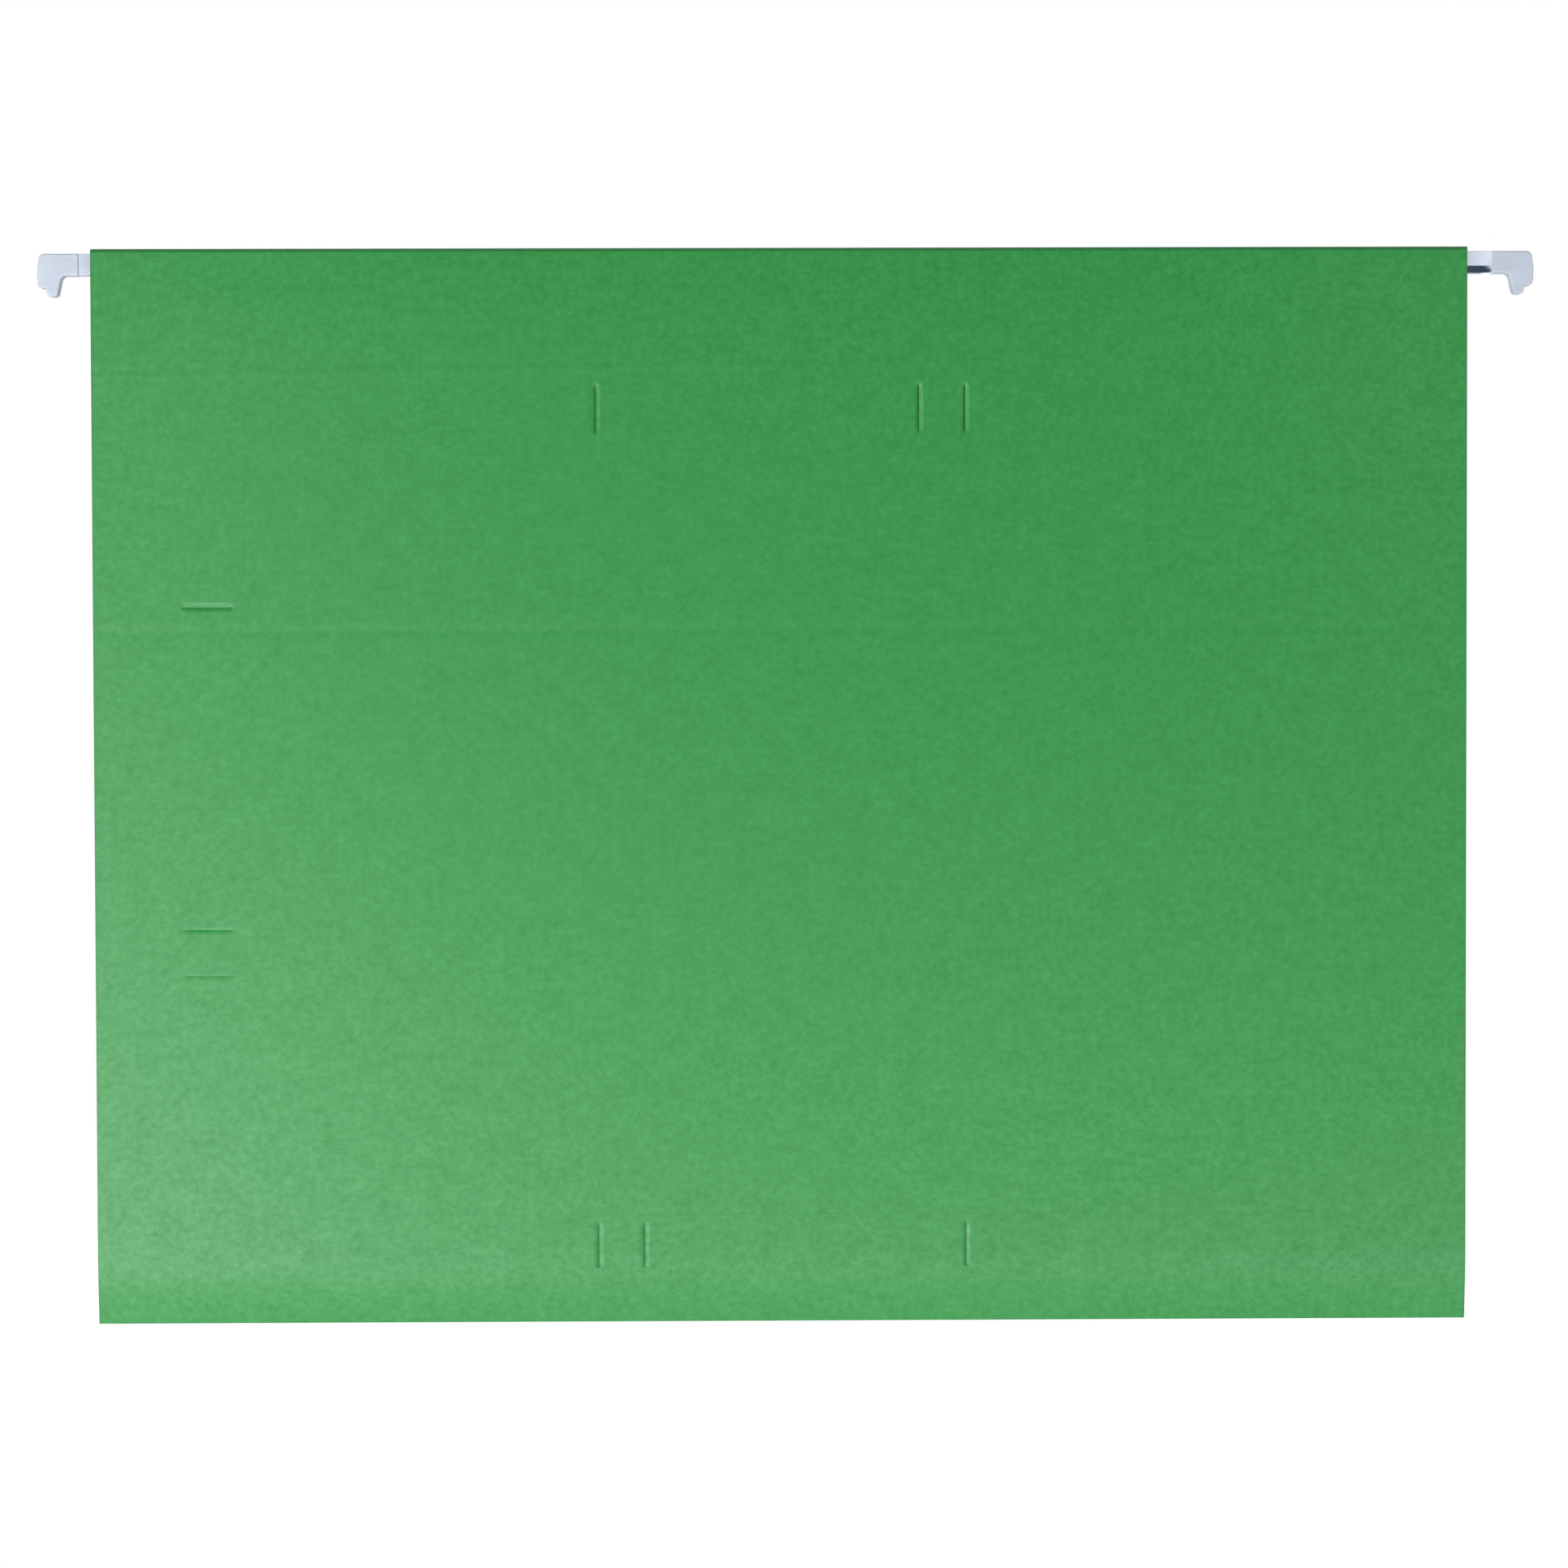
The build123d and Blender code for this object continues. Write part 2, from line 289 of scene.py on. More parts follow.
# Painted shade: a darker band of colour along the hem's crown, standing in for the shade on the top of the
# fold, which faces away from the low lamps.
CROWN_SHADE_FULL = 0.945 * MM
CROWN_SHADE_END = 1.62 * MM
CROWN_SHADE = 0.75
# Painted shade: a darker band of colour along the bottom fold, standing in for the shade on its round,
# which faces down.
FOLD_SHADE_FULL = 0.51 * MM
FOLD_SHADE_END = 1.19 * MM
FOLD_SHADE = 0.2
CROWN_ALONG = (FOLD_RADIUS + HEM_RADIUS) * math.pi / 2 + GUSSET_RUN + BEND_Z - LOWER_SCORE_Z

# Dyed card stock, rolled between smooth steel: felted fibres a millimetre or two long, dyed unevenly
# in flocs, with a soft sheen and a few stray flecks; painted shade darkens its colour along the cut
# side edges, the hem's crown and the bottom fold.
card_finish = new_finish("dyed_card_stock")
card_place = add_node(card_finish, "ShaderNodeAttribute", {}, attribute_name="blank")
card_stretch = add_node(card_finish, "ShaderNodeMapping", {
    "Vector": card_place.outputs["Vector"],
    "Scale": (1 / FIBRE_LENGTH, 1 / FIBRE_WIDTH, 1.0),
})
card_fibre = add_node(card_finish, "ShaderNodeTexNoise", {
    "Vector": card_stretch.outputs["Vector"], "Scale": 1.0, "Detail": 2.0, "Distortion": 0.6,
})
card_floc = add_node(card_finish, "ShaderNodeTexNoise", {
    "Vector": card_place.outputs["Vector"], "Scale": 1 / FLOC, "Detail": 2.0, "Roughness": 0.7,
})
card_cloud = add_node(card_finish, "ShaderNodeTexNoise", {
    "Vector": card_place.outputs["Vector"], "Scale": 1 / CLOUD, "Detail": 1.0,
})
card_speck = add_node(card_finish, "ShaderNodeTexVoronoi", {
    "Vector": card_place.outputs["Vector"], "Scale": 1 / SPECK_SPACING, "Randomness": 1.0,
})
card_clouded = add_node(card_finish, "ShaderNodeMath", {
    0: card_cloud.outputs["Fac"], 1: CLOUD_SHARE, 2: TONE_BASE,
}, operation="MULTIPLY_ADD")
card_uneven = add_node(card_finish, "ShaderNodeMath", {
    0: card_fibre.outputs["Fac"], 1: FIBRE_SHARE, 2: card_clouded.outputs["Value"],
}, operation="MULTIPLY_ADD")
card_tone = add_node(card_finish, "ShaderNodeMath", {
    0: card_floc.outputs["Fac"], 1: FLOC_SHARE, 2: card_uneven.outputs["Value"],
}, operation="MULTIPLY_ADD")
card_green = add_node(card_finish, "ShaderNodeValToRGB", {"Fac": card_tone.outputs["Value"]})
card_green.color_ramp.elements[0].position = TONE_LOW
card_green.color_ramp.elements[0].color = srgb("#0E842F")
card_green.color_ramp.elements[1].position = TONE_HIGH
card_green.color_ramp.elements[1].color = srgb("#3C9E50")
card_fleck = add_node(card_finish, "ShaderNodeMapRange", {
    "Value": card_speck.outputs["Distance"],
    "From Min": SPECK_FULL / SPECK_SPACING, "From Max": SPECK_END / SPECK_SPACING,
    "To Min": SPECK_STRENGTH, "To Max": 0.0,
})
card_flecked = add_node(card_finish, "ShaderNodeMix", {
    0: card_fleck.outputs["Result"], 6: card_green.outputs["Color"], 7: srgb("#1F6E36"),
}, data_type="RGBA")
card_across = add_node(card_finish, "ShaderNodeSeparateXYZ", {"Vector": card_place.outputs["Vector"]})
card_off_middle = add_node(card_finish, "ShaderNodeMath", {
    0: card_across.outputs["X"], 1: CARD_WIDTH / 2,
}, operation="SUBTRACT")
card_from_middle = add_node(card_finish, "ShaderNodeMath", {
    0: card_off_middle.outputs["Value"],
}, operation="ABSOLUTE")
# Painted shade along the cut side edges: full within the first band from the edge, fading out inwards.
card_edge_shade = add_node(card_finish, "ShaderNodeMapRange", {
    "Value": card_from_middle.outputs["Value"],
    "From Min": CARD_WIDTH / 2 - CUT_SHADE_END, "From Max": CARD_WIDTH / 2 - CUT_SHADE_FULL,
    "To Min": 0.0, "To Max": CUT_SHADE,
}, interpolation_type="SMOOTHSTEP")
card_from_fold = add_node(card_finish, "ShaderNodeMath", {
    0: card_across.outputs["Y"],
}, operation="ABSOLUTE")
# Painted shade along the bottom fold, which lies at the middle of the flat blank.
card_fold_shade = add_node(card_finish, "ShaderNodeMapRange", {
    "Value": card_from_fold.outputs["Value"],
    "From Min": FOLD_SHADE_FULL, "From Max": FOLD_SHADE_END, "To Min": FOLD_SHADE, "To Max": 0.0,
}, interpolation_type="SMOOTHSTEP")
# Painted shade along the hem's crown, measured from the crown's place on the flat blank.
card_off_crown = add_node(card_finish, "ShaderNodeMath", {
    0: card_from_fold.outputs["Value"], 1: CROWN_ALONG,
}, operation="SUBTRACT")
card_from_crown = add_node(card_finish, "ShaderNodeMath", {
    0: card_off_crown.outputs["Value"],
}, operation="ABSOLUTE")
card_crown_shade = add_node(card_finish, "ShaderNodeMapRange", {
    "Value": card_from_crown.outputs["Value"],
    "From Min": CROWN_SHADE_FULL, "From Max": CROWN_SHADE_END, "To Min": CROWN_SHADE, "To Max": 0.0,
}, interpolation_type="SMOOTHSTEP")
# Painted shade: the strongest of the darkenings at the fold, the crown and the side edges.
card_folds_shade = add_node(card_finish, "ShaderNodeMath", {
    0: card_fold_shade.outputs["Result"], 1: card_crown_shade.outputs["Result"],
}, operation="MAXIMUM")
card_painted_shade = add_node(card_finish, "ShaderNodeMath", {
    0: card_folds_shade.outputs["Value"], 1: card_edge_shade.outputs["Result"],
}, operation="MAXIMUM")
# The card's own colour, mixed toward dark green where the painted shade lies.
card_shaded_colour = add_node(card_finish, "ShaderNodeMix", {
    0: card_painted_shade.outputs["Value"], 6: card_flecked.outputs[2], 7: srgb("#1A6630"),
}, data_type="RGBA")
card_rough = add_node(card_finish, "ShaderNodeMapRange", {
    "Value": card_tone.outputs["Value"], "From Min": TONE_LOW, "From Max": TONE_HIGH,
    "To Min": 0.44, "To Max": 0.31,
})
card_bump = add_node(card_finish, "ShaderNodeBump", {
    "Height": card_tone.outputs["Value"], "Distance": FLOC_HEIGHT, "Strength": 0.85,
})
card_shader = add_node(card_finish, "ShaderNodeBsdfPrincipled", {
    "Base Color": card_shaded_colour.outputs[2], "Roughness": card_rough.outputs["Result"],
    "IOR": 1.5, "Normal": card_bump.outputs["Normal"],
})
add_node(card_finish, "ShaderNodeOutputMaterial", {"Surface": card_shader.outputs["BSDF"]})


def folded_card(start, heading, along, outward, moves):
    """The card's outer face, drawn in section through straight runs and bends, then pulled to width.

    A move is (length,) for a straight run, or (radius, degrees, steps) for a bend, to the left of
    the heading where it is positive. Each point keeps its place on the flat blank.
    """
    sheet = bmesh.new()
    blank = sheet.verts.layers.float_vector.new("blank")
    first = bmesh.ops.create_vert(sheet, co=start)["vert"][0]
    first[blank] = Vector((0, along, 0))
    tip = first
    way = Vector((0, math.cos(math.radians(heading)), math.sin(math.radians(heading))))
    growth = 1 if along >= 0 else -1
    for move in moves:
        steps = move[2] if len(move) > 1 else 1
        if len(move) > 1:
            turn = Matrix.Rotation(math.radians(move[1] / steps), 3, "X")
            to_left = Vector((0, -way.z, way.y))
            centre = tip.co + to_left * math.copysign(move[0], move[1])
            stride = abs(move[0] * math.radians(move[1] / steps))
        for step in range(steps):
            place = tip[blank].copy()
            tip = bmesh.ops.extrude_vert_indiv(sheet, verts=[tip])["verts"][0]
            if len(move) > 1:
                bmesh.ops.rotate(sheet, verts=[tip], cent=centre, matrix=turn)
                way = turn @ way
                tip[blank] = place + Vector((0, growth * stride, 0))
            else:
                tip.co += way * move[0]
                tip[blank] = place + Vector((0, growth * move[0], 0))
    pulled = bmesh.ops.extrude_edge_only(sheet, edges=sheet.edges[:])
    far_side = [item for item in pulled["geom"] if isinstance(item, bmesh.types.BMVert)]
    bmesh.ops.translate(sheet, verts=far_side, vec=(CARD_WIDTH, 0, 0))
    for vert in far_side:
        vert[blank] = vert[blank] + Vector((CARD_WIDTH, 0, 0))
    sheet.normal_update()
    if first.link_faces[0].normal.dot(outward) < 0:
        bmesh.ops.reverse_faces(sheet, faces=sheet.faces)
    return sheet


def on_leaf(vert, side):
    """Whether a point lies on a leaf's outer face, and not in the flap behind it."""
    return abs(vert.co.y * side - LEAF_OUTER) < CARD


def cut_rows(sheet, heights):
    """Cuts the sheet across at these heights, so that it has rows to bend at."""
    for height in heights:
        bmesh.ops.bisect_plane(
            sheet, geom=everything(sheet), plane_co=(0, 0, height), plane_no=(0, 0, 1), dist=CUT_REACH,
        )


def score_rows(score_z):
    """Heights of the rows that a score bends at."""
    spacing = 2 * SCORE_HALF / (SCORE_ROWS - 1)
    return [score_z - SCORE_HALF + spacing * row for row in range(SCORE_ROWS)]


def emboss(sheet, side, left_z, right_z, half_width, height):
    """Raises a faint line across a leaf, or presses it in where the height is negative."""
    line_start = Vector((CARD_LEFT, 0, left_z))
    square_to = Vector((left_z - right_z, 0, CARD_WIDTH)).normalized()
    for share in EMBOSS_CUTS:
        bmesh.ops.bisect_plane(
            sheet, geom=everything(sheet), dist=CUT_REACH,
            plane_co=line_start + square_to * share * half_width, plane_no=square_to,
        )
    for vert in sheet.verts:
        away = (vert.co - line_start).dot(square_to) / half_width
        if abs(away) < 1 and on_leaf(vert, side):
            vert.co.y += side * height * math.cos(away * math.pi / 2) ** 2


def thicken(sheet):
    """Gives the drawn face the card's thickness, inwards."""
    bmesh.ops.solidify(sheet, geom=sheet.faces[:], thickness=CARD)
    bmesh.ops.recalc_face_normals(sheet, faces=sheet.faces)


taper_out = (GLUE_INSIDE - CARD) - FLAP_INSIDE
taper_angle = math.atan2(taper_out, TAPER_HEIGHT)
taper_tangent = TAPER_RADIUS * math.tan(taper_angle / 2)
hem_foot_z = CARD_TOP - HEM_DEPTH


def hem_moves(turn):
    """The way round the rod, in to the leaf and down to the flap's cut edge, turning that way."""
    slope = math.degrees(taper_angle) * turn
    return [
        (HEM_RADIUS, 180 * turn, HEM_STEPS),
        (BEND_Z - TAPER_TOP_Z - taper_tangent,),
        (TAPER_RADIUS + CARD / 2, slope, TAPER_STEPS),
        (math.hypot(taper_out, TAPER_HEIGHT) - 2 * taper_tangent,),
        (TAPER_RADIUS - CARD / 2, -slope, TAPER_STEPS),
        (TAPER_TOP_Z - TAPER_HEIGHT - taper_tangent - hem_foot_z,),
    ]


def slant_flap(sheet, side):
    """Tilts the flap's cut edge a little, as the hand-fed hem of the real one is."""
    for vert in sheet.verts:
        if abs(vert.co.z - hem_foot_z) < FLAP_EDGE_REACH and not on_leaf(vert, side):
            from_middle = (vert.co.x - CARD_LEFT) / CARD_WIDTH - 0.5
            vert.co.z += 2 * HEM_SLANT * from_middle


# Rear leaf: the plain half of the sheet, folded over the rear rod at its hem and glued down there. It
# reaches over the rear lower score to the middle of the rear gusset.
FLAP_LINE_HALF = 1.2 * MM
REAR_FLAP_RISE = 0.07 * MM
REAR_SCORE_LINE_HALF = 0.6 * MM
REAR_SCORE_PRESS = 0.06 * MM
gusset_way = Vector((0, math.cos(math.radians(GUSSET_TURN)), math.sin(math.radians(GUSSET_TURN))))
gusset_out = Vector((0, gusset_way.z, -gusset_way.y))
gusset_middle = Vector((CARD_LEFT, 0, FOLD_Z)) + gusset_way * GUSSET_RUN / 2 + gusset_out * FOLD_RADIUS
fold_half_length = FOLD_RADIUS * math.radians(GUSSET_TURN) + GUSSET_RUN / 2
gusset_kink = 90 - GUSSET_TURN
score_tangent = (SCORE_EASE - FOLD_RADIUS) * math.tan(math.radians(gusset_kink / 2))
rear_leaf = folded_card(gusset_middle, GUSSET_TURN, -fold_half_length, gusset_out, [
    (GUSSET_RUN / 2 - score_tangent,), (SCORE_EASE, gusset_kink, SCORE_EASE_STEPS),
    (BEND_Z - LOWER_SCORE_Z - score_tangent,), *hem_moves(1),
])
slant_flap(rear_leaf, 1)
cut_rows(rear_leaf, score_rows(LOWER_SCORE_Z))
emboss(rear_leaf, 1, UPPER_SCORE_Z, UPPER_SCORE_Z, REAR_SCORE_LINE_HALF, -REAR_SCORE_PRESS)
emboss(rear_leaf, 1, hem_foot_z - HEM_SLANT, hem_foot_z + HEM_SLANT, FLAP_LINE_HALF, REAR_FLAP_RISE)
thicken(rear_leaf)
rear_leaf_piece = new_piece("rear_leaf_card", rear_leaf, card_finish, CARD_SMOOTH_BELOW)
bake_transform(rear_leaf_piece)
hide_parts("rear_leaf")

# Bottom fold: the lower halves of both gussets and the round of the fold between them. The card is
# creased there before it is folded, and opens out to a flat bottom when the folder fills.
FOLD_STEPS = 20
bottom_fold = folded_card(gusset_middle, GUSSET_TURN - 180, -fold_half_length, gusset_out, [
    (GUSSET_RUN / 2,), (FOLD_RADIUS, -2 * GUSSET_TURN, FOLD_STEPS), (GUSSET_RUN / 2,),
])
thicken(bottom_fold)
bottom_fold_piece = new_piece("bottom_fold_card", bottom_fold, card_finish, CARD_SMOOTH_BELOW)
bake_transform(bottom_fold_piece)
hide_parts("rear_gusset", "front_gusset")

# Front skirt: from the middle of the front gusset to just under the upper score. A knife cut the
# bottom row of fastener slits in it while the sheet was flat.
SLIT_GAP = 0.02 * MM
SLIT_END = 1.3 * MM
SLIT_MARGIN = 0.5 * MM
BOTTOM_SLIT_LIPS = ((0.75 * MM, 0.45 * MM), (0.7 * MM, 0.28 * MM))
LONG_SLIT = 11.2 * MM
SHORT_SLIT = 10.0 * MM
SLIT_PAIR = 80.0 * MM
SLIT_ALTERNATE = 70.0 * MM
BOTTOM_SLIT_RISE = 17.0 * MM
SCORE_LINE_HALF = 0.7 * MM
SCORE_PRESS = 0.008 * MM


def slit_row(row):
    """Places of three slits along their row: the wide pair, and the one for the narrower spacing."""
    first = row * SLIT_PAIR / 2
    return [first, first - row * SLIT_ALTERNATE, -first]


def cut_slit(sheet, centre, length, run, lips):
    """Cuts a slit along run, a unit vector in the leaf, and presses in its lips, as the knife did.

    A lip is (width, depth). The first is to the left of the slit or below it, the second across it.
    """
    over = Vector((run.z, 0, run.x))
    half = length / 2
    cuts = []
    for sign in (-1, 1):
        cuts += [(run, sign * (half + past)) for past in (-SLIT_END, -SLIT_END / 2, 0, SLIT_MARGIN)]
    for sign, (width, depth) in zip((-1, 1), lips):
        cuts += [(over, sign * away) for away in (SLIT_GAP, width / 2, width, width + SLIT_MARGIN)]
    for way, step in cuts:
        bmesh.ops.bisect_plane(
            sheet, geom=everything(sheet), dist=CUT_REACH, plane_co=centre + way * step, plane_no=way,
        )
    opened = [
        face for face in sheet.faces
        if abs((face.calc_center_median() - centre).dot(over)) < SLIT_GAP
        and abs((face.calc_center_median() - centre).dot(run)) < half
        and on_leaf(face.verts[0], -1)
    ]
    bmesh.ops.delete(sheet, geom=opened, context="FACES")
    for vert in sheet.verts:
        beside = (vert.co - centre).dot(over)
        width, depth = lips[0] if beside < 0 else lips[1]
        across_share = 1 - abs(beside) / width
        end_share = min(1, (half - abs((vert.co - centre).dot(run))) / SLIT_END)
        if across_share > 0 and end_share > 0 and on_leaf(vert, -1):
            vert.co.y += depth * across_share * math.sin(end_share * math.pi / 2)


front_gusset_middle = gusset_middle * Vector((1, -1, 1))
front_skirt = folded_card(
    front_gusset_middle, 180 - GUSSET_TURN, fold_half_length, gusset_out * Vector((1, -1, 1)), [
        (GUSSET_RUN / 2 - score_tangent,), (SCORE_EASE, -gusset_kink, SCORE_EASE_STEPS),
        (SKIRT_SEAM_Z - LOWER_SCORE_Z - score_tangent,),
    ],
)
cut_rows(front_skirt, score_rows(LOWER_SCORE_Z))
emboss(front_skirt, -1, LOWER_SCORE_Z, LOWER_SCORE_Z, SCORE_LINE_HALF, -SCORE_PRESS)
card_middle = CARD_LEFT + CARD_WIDTH / 2
card_bottom = FOLD_Z - FOLD_RADIUS
for place in slit_row(1):
    slit_centre = Vector((card_middle + place, -LEAF_OUTER, card_bottom + BOTTOM_SLIT_RISE))
    cut_slit(front_skirt, slit_centre, SHORT_SLIT, Vector((0, 0, 1)), BOTTOM_SLIT_LIPS)
thicken(front_skirt)
front_skirt_piece = new_piece("front_skirt_card", front_skirt, card_finish, CARD_SMOOTH_BELOW)
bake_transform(front_skirt_piece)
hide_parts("front_skirt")

# Front leaf: from the top of the skirt over the upper score to the hem, with the top row and the
# side column of slits, a handling crease, and the flap's edge showing through from behind.
FLAP_RISE = 0.045 * MM
CREASE_DROP_LEFT = 82.9 * MM
CREASE_DROP_RIGHT = 82.1 * MM
CREASE_HALF = 1.4 * MM
CREASE_PRESS = 0.045 * MM
TOP_SLIT_DROP = 34.7 * MM
SIDE_SLIT_INSET = 24.8 * MM
SIDE_SLIT_DROP = 0.8 * MM
TOP_SLIT_LIPS = ((1.0 * MM, 0.78 * MM), (0.72 * MM, 0.44 * MM))
SIDE_SLIT_LIPS = (
    ((0.65 * MM, 0.42 * MM), (0.9 * MM, 0.27 * MM)),
    ((0.5 * MM, 0.17 * MM), (0.45 * MM, 0.08 * MM)),
    ((0.45 * MM, 0.09 * MM), (0.4 * MM, 0.03 * MM)),
)
along_at_seam = fold_half_length + GUSSET_RUN / 2 + SKIRT_SEAM_Z - LOWER_SCORE_Z
front_leaf = folded_card(
    Vector((CARD_LEFT, -LEAF_OUTER, SKIRT_SEAM_Z)), 90, along_at_seam, Vector((0, -1, 0)),
    [(BEND_Z - SKIRT_SEAM_Z,), *hem_moves(-1)],
)
slant_flap(front_leaf, -1)
cut_rows(front_leaf, score_rows(UPPER_SCORE_Z))
emboss(front_leaf, -1, UPPER_SCORE_Z, UPPER_SCORE_Z, SCORE_LINE_HALF, -SCORE_PRESS)
emboss(front_leaf, -1, hem_foot_z - HEM_SLANT, hem_foot_z + HEM_SLANT, FLAP_LINE_HALF, FLAP_RISE)
emboss(
    front_leaf, -1, CARD_TOP - CREASE_DROP_LEFT, CARD_TOP - CREASE_DROP_RIGHT, CREASE_HALF, -CREASE_PRESS,
)
for place in slit_row(-1):
    slit_centre = Vector((card_middle + place, -LEAF_OUTER, CARD_TOP - TOP_SLIT_DROP))
    cut_slit(front_leaf, slit_centre, LONG_SLIT, Vector((0, 0, 1)), TOP_SLIT_LIPS)
side_column_z = (CARD_TOP + card_bottom) / 2 - SIDE_SLIT_DROP
for place, slit_lips in zip(slit_row(1), SIDE_SLIT_LIPS):
    slit_centre = Vector((CARD_LEFT + SIDE_SLIT_INSET, -LEAF_OUTER, side_column_z + place))
    cut_slit(front_leaf, slit_centre, LONG_SLIT, Vector((1, 0, 0)), slit_lips)
thicken(front_leaf)
front_leaf_piece = new_piece("front_leaf_card", front_leaf, card_finish, CARD_SMOOTH_BELOW)
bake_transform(front_leaf_piece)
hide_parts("front_leaf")

# Hem glue: a thin line of white glue under each flap, rolled on along the hem and dried clear-yellow.
# It stops short of the flap's slanting cut edge, and its borders waver as the roller's did.
GLUE_RIPPLE = 1.5 * MM
GLUE_SETBACK = 1.2 * MM
GLUE_WAVER = 0.3 * MM
GLUE_WAVE_LENGTH = 23 * MM
GLUE_STEPS = 96
GLUE_BEAT = 2.3
GLUE_RIPPLE_HEIGHT = 0.02 * MM
GLUE_SMOOTH_BELOW = 40

# Dried white glue: yellowish, smooth and a little glossy, with ripples left by the roller.
dried_glue = new_finish("dried_white_glue")
glue_place = add_node(dried_glue, "ShaderNodeTexCoord", {})
glue_ripple = add_node(dried_glue, "ShaderNodeTexNoise", {
    "Vector": glue_place.outputs["Object"], "Scale": 1 / GLUE_RIPPLE, "Detail": 2.0,
})
glue_colour = add_node(dried_glue, "ShaderNodeMix", {
    0: glue_ripple.outputs["Fac"], 6: srgb("#CFC7A8"), 7: srgb("#E4DEC8"),
}, data_type="RGBA")
glue_bump = add_node(dried_glue, "ShaderNodeBump", {
    "Height": glue_ripple.outputs["Fac"], "Distance": GLUE_RIPPLE_HEIGHT, "Strength": 0.5,
})
glue_shader = add_node(dried_glue, "ShaderNodeBsdfPrincipled", {
    "Base Color": glue_colour.outputs[2], "Roughness": 0.35, "IOR": 1.47,
    "Normal": glue_bump.outputs["Normal"],
})
add_node(dried_glue, "ShaderNodeOutputMaterial", {"Surface": glue_shader.outputs["BSDF"]})
for side in ("rear", "front"):
    glue_low, glue_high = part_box(f"{side}_hem_glue")
    glue_middle = (glue_low + glue_high) / 2
    glue = bmesh.new()
    bmesh.ops.create_cube(glue, size=1)
    bmesh.ops.scale(glue, verts=glue.verts, vec=glue_high - glue_low)
    bmesh.ops.translate(glue, verts=glue.verts, vec=glue_middle)
    for vert in glue.verts:
        flap_edge_z = hem_foot_z + 2 * HEM_SLANT * ((vert.co.x - CARD_LEFT) / CARD_WIDTH - 0.5)
        vert.co.z = max(vert.co.z, flap_edge_z + GLUE_SETBACK)
    for step in range(1, GLUE_STEPS):
        across = glue_low.x + (glue_high.x - glue_low.x) * step / GLUE_STEPS
        bmesh.ops.bisect_plane(glue, geom=everything(glue), plane_co=(across, 0, 0), plane_no=(1, 0, 0))
    for vert in glue.verts:
        waves_along = vert.co.x / GLUE_WAVE_LENGTH
        wave = math.sin(waves_along * 2 * math.pi) * math.sin(waves_along * GLUE_BEAT)
        vert.co.z += GLUE_WAVER * wave * (1 if vert.co.z < glue_middle.z else -1)
    bmesh.ops.recalc_face_normals(glue, faces=glue.faces)
    glue_piece = new_piece(f"{side}_glue_line", glue, dried_glue, GLUE_SMOOTH_BELOW)
    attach(glue_piece, f"{side}_leaf")
    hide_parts(f"{side}_hem_glue")

# Studio: a pale floor that runs out into white, two softboxes low in front, one at each side of the
# camera and one behind the folder, white all round, and a dim wall behind the camera, which only
# reflections see. Lengths here are in metres.
FLOOR_Z = -0.8
FLOOR_RADIUS = 1.6
FLOOR_SIDES = 96
FLOOR_FADE_START = 0.4
FLOOR_FADE_END = 0.68
FLOOR_GLOW = 0.45
FRONT_LAMPS_Y = -0.95
REAR_LAMP_Y = 1.1
WALL_Y = -1.0
WALL_HALF = 1
ALL_ROUND_LIGHT = 0.22
STAGE_SMOOTH_BELOW = 30


def softbox(name, place, width, height, power, facing):
    """A rectangular lamp that faces the rear of the studio or, with a facing of -1, its front.

    The rods would mirror the rear one as white on white, so reflections leave it out.
    """
    lamp = bpy.data.lights.new(name, "AREA")
    lamp.shape = "RECTANGLE"
    lamp.size = width
    lamp.size_y = height
    lamp.energy = power
    stand = bpy.data.objects.new(name, lamp)
    stand.location = place
    stand.rotation_euler = (math.radians(90 * facing), 0, 0)
    stand.visible_camera = False
    stand.visible_glossy = facing > 0
    bpy.context.scene.collection.objects.link(stand)


softbox("low_left_softbox", (-0.58, FRONT_LAMPS_Y, -0.420), width=0.73, height=0.314, power=6.3, facing=1)
softbox("low_right_softbox", (0.344, FRONT_LAMPS_Y, -0.474), width=1.126, height=0.305, power=3.7, facing=1)
softbox("left_softbox", (-0.75, FRONT_LAMPS_Y, 0.002), width=0.90, height=0.53, power=3.8, facing=1)
softbox("right_softbox", (0.538, FRONT_LAMPS_Y, 0.16), width=0.464, height=0.308, power=0.82, facing=1)
softbox("rear_softbox", (0.0, REAR_LAMP_Y, 0.0), width=1.2, height=0.8, power=7.0, facing=-1)

# Matt pale paint on the floor. Seen directly, mirrored or through something clear, it glows a little,
# and farther out it goes over into the white of the surroundings.
floor_paint = new_finish("pale_floor")
floor_ray = add_node(floor_paint, "ShaderNodeLightPath", {})
floor_seen = add_node(floor_paint, "ShaderNodeMath", {
    0: floor_ray.outputs["Is Camera Ray"], 1: floor_ray.outputs["Is Glossy Ray"],
}, operation="MAXIMUM")
floor_shown = add_node(floor_paint, "ShaderNodeMath", {
    0: floor_seen.outputs["Value"], 1: floor_ray.outputs["Is Transmission Ray"],
}, operation="MAXIMUM")
floor_place = add_node(floor_paint, "ShaderNodeTexCoord", {})
floor_flat = add_node(floor_paint, "ShaderNodeMapping", {
    "Vector": floor_place.outputs["Object"], "Scale": (1, 1, 0),
})
floor_distance = add_node(floor_paint, "ShaderNodeVectorMath", {
    0: floor_flat.outputs["Vector"],
}, operation="LENGTH")
floor_fade = add_node(floor_paint, "ShaderNodeMapRange", {
    "Value": floor_distance.outputs["Value"], "From Min": FLOOR_FADE_START, "From Max": FLOOR_FADE_END,
}, interpolation_type="SMOOTHSTEP")
floor_white_share = add_node(floor_paint, "ShaderNodeMath", {
    0: floor_fade.outputs["Result"], 1: floor_shown.outputs["Value"],
}, operation="MULTIPLY")
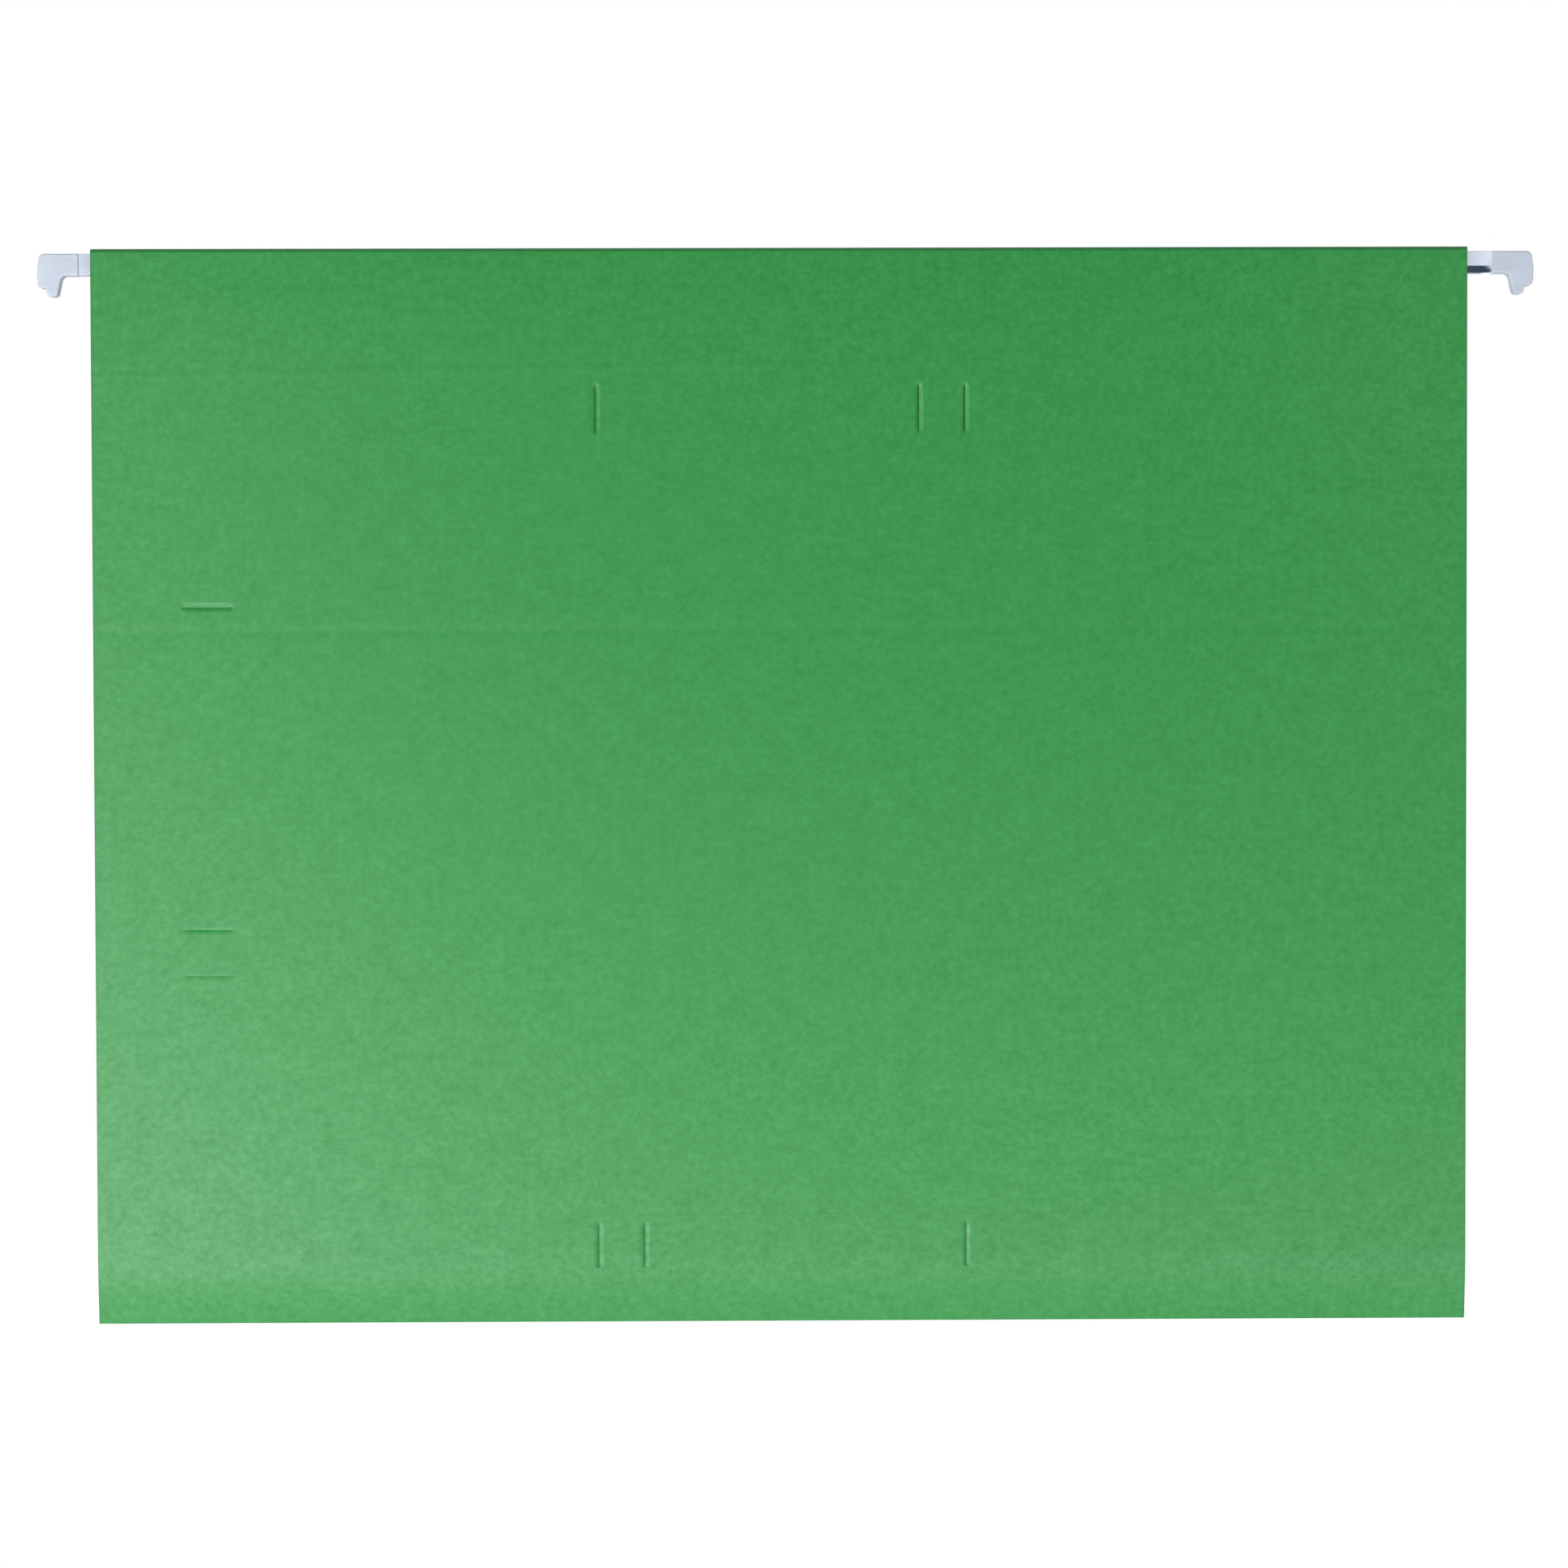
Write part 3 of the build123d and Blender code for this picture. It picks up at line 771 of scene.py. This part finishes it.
floor_matt = add_node(floor_paint, "ShaderNodeBsdfDiffuse", {"Color": srgb("#CFCFCF")})
floor_glow_level = add_node(floor_paint, "ShaderNodeMath", {
    0: floor_shown.outputs["Value"], 1: FLOOR_GLOW,
}, operation="MULTIPLY")
floor_glow = add_node(floor_paint, "ShaderNodeEmission", {"Strength": floor_glow_level.outputs["Value"]})
floor_near = add_node(floor_paint, "ShaderNodeAddShader", {
    0: floor_matt.outputs["BSDF"], 1: floor_glow.outputs["Emission"],
})
floor_white = add_node(floor_paint, "ShaderNodeEmission", {"Strength": 1.0})
floor_mix = add_node(floor_paint, "ShaderNodeMixShader", {
    0: floor_white_share.outputs["Value"], 1: floor_near.outputs["Shader"],
    2: floor_white.outputs["Emission"],
})
add_node(floor_paint, "ShaderNodeOutputMaterial", {"Surface": floor_mix.outputs["Shader"]})
floor_disc = bmesh.new()
bmesh.ops.create_circle(floor_disc, cap_ends=True, radius=FLOOR_RADIUS, segments=FLOOR_SIDES)
bmesh.ops.translate(floor_disc, verts=floor_disc.verts, vec=(0, 0, FLOOR_Z))
studio_floor = new_piece("studio_floor", floor_disc, floor_paint, STAGE_SMOOTH_BELOW)

# Dim blue-grey of an unlit room, which gives the bright rods and the card's sheen their darker parts.
dim_paint = new_finish("dim_room")
dim_glow = add_node(dim_paint, "ShaderNodeEmission", {"Color": srgb("#394957"), "Strength": 1.0})
add_node(dim_paint, "ShaderNodeOutputMaterial", {"Surface": dim_glow.outputs["Emission"]})
dim_wall = bmesh.new()
bmesh.ops.create_grid(dim_wall, x_segments=1, y_segments=1, size=WALL_HALF)
bmesh.ops.rotate(dim_wall, verts=dim_wall.verts, matrix=Matrix.Rotation(math.radians(90), 3, "X"))
bmesh.ops.translate(dim_wall, verts=dim_wall.verts, vec=(0, WALL_Y, WALL_HALF + FLOOR_Z))
dim_room = new_piece("dim_room_behind_camera", dim_wall, dim_paint, STAGE_SMOOTH_BELOW)
dim_room.visible_camera = False
dim_room.visible_diffuse = False
dim_room.visible_transmission = False
dim_room.visible_shadow = False

studio = bpy.data.worlds.new("white_studio")
studio.use_nodes = True
studio.node_tree.nodes.clear()
studio_ray = add_node(studio, "ShaderNodeLightPath", {})
studio_seen = add_node(studio, "ShaderNodeMath", {
    0: studio_ray.outputs["Is Camera Ray"], 1: studio_ray.outputs["Is Glossy Ray"],
}, operation="MAXIMUM")
studio_shown = add_node(studio, "ShaderNodeMath", {
    0: studio_seen.outputs["Value"], 1: studio_ray.outputs["Is Transmission Ray"],
}, operation="MAXIMUM")
studio_level = add_node(studio, "ShaderNodeMapRange", {
    "Value": studio_shown.outputs["Value"], "To Min": ALL_ROUND_LIGHT, "To Max": 1.0,
})
studio_light = add_node(studio, "ShaderNodeBackground", {
    "Color": srgb("#FFFFFF"), "Strength": studio_level.outputs["Result"],
})
add_node(studio, "ShaderNodeOutputWorld", {"Surface": studio_light.outputs["Background"]})
bpy.context.scene.world = studio

# Camera: a long lens straight in front, a little below the hem and looking slightly down. Its turns
# are in degrees.
CAMERA_PLACE = (-11.1 * MM, -947.3 * MM, -80.2 * MM)
CAMERA_DOWN = 1.826
CAMERA_ROLL = 0.168
CAMERA_RIGHT = 0.624
FOCAL_LENGTH = 100
SENSOR_WIDTH = 36
lens = bpy.data.cameras.new("camera")
lens.lens = FOCAL_LENGTH
lens.sensor_width = SENSOR_WIDTH
camera = bpy.data.objects.new("camera", lens)
camera.location = CAMERA_PLACE
camera.rotation_euler = (
    math.radians(90 - CAMERA_DOWN), math.radians(CAMERA_ROLL), math.radians(-CAMERA_RIGHT),
)
bpy.context.scene.collection.objects.link(camera)
bpy.context.scene.camera = camera
bpy.context.scene.view_settings.view_transform = "Standard"
